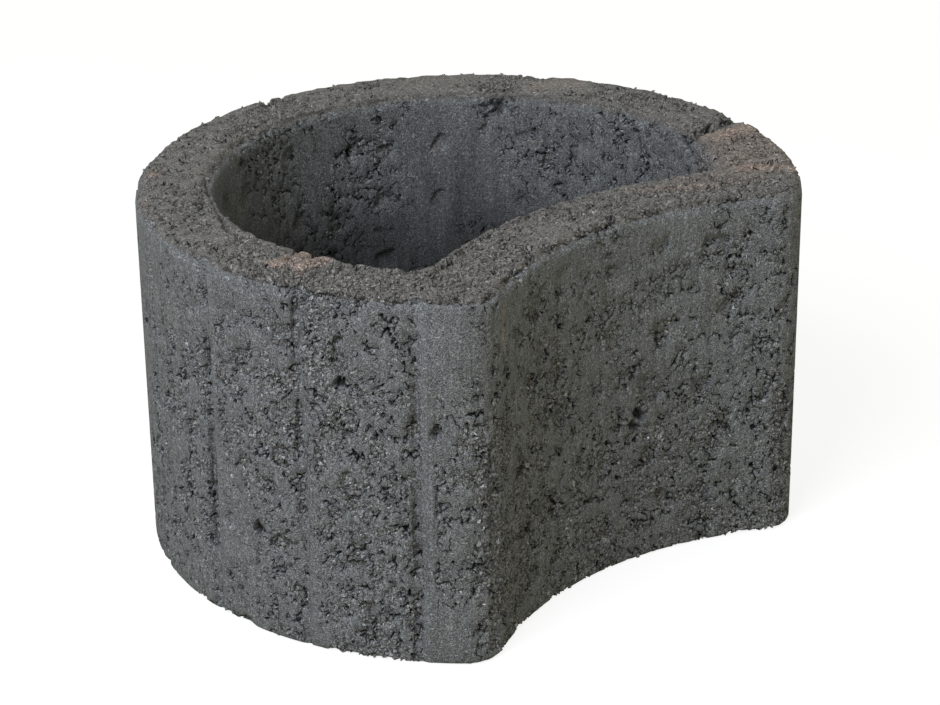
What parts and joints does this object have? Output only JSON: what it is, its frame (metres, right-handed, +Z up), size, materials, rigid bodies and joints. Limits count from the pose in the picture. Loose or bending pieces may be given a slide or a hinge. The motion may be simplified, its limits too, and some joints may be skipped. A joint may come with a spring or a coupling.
{
  "type": "concrete planter ring",
  "caption": "Thick-walled concrete planting ring, open at top and bottom, with a grooved round back and a crescent front that the back of the next ring nests into.",
  "frame": {"origin": "middle of the footprint's bounding box, on the plane that the base stands on", "axes": "+Z up along the ring's height, +X across the ring from one horn of the crescent to the other, -Y out of the crescent, and +Y out of the round grooved back"},
  "size_m": [0.3498, 0.3086, 0.197],
  "materials": {
    "concrete": "rough open-textured concrete, dark grey all through"
  },
  "bodies": {
    "root": {"planter_ring": "concrete"}
  },
  "joints": []
}
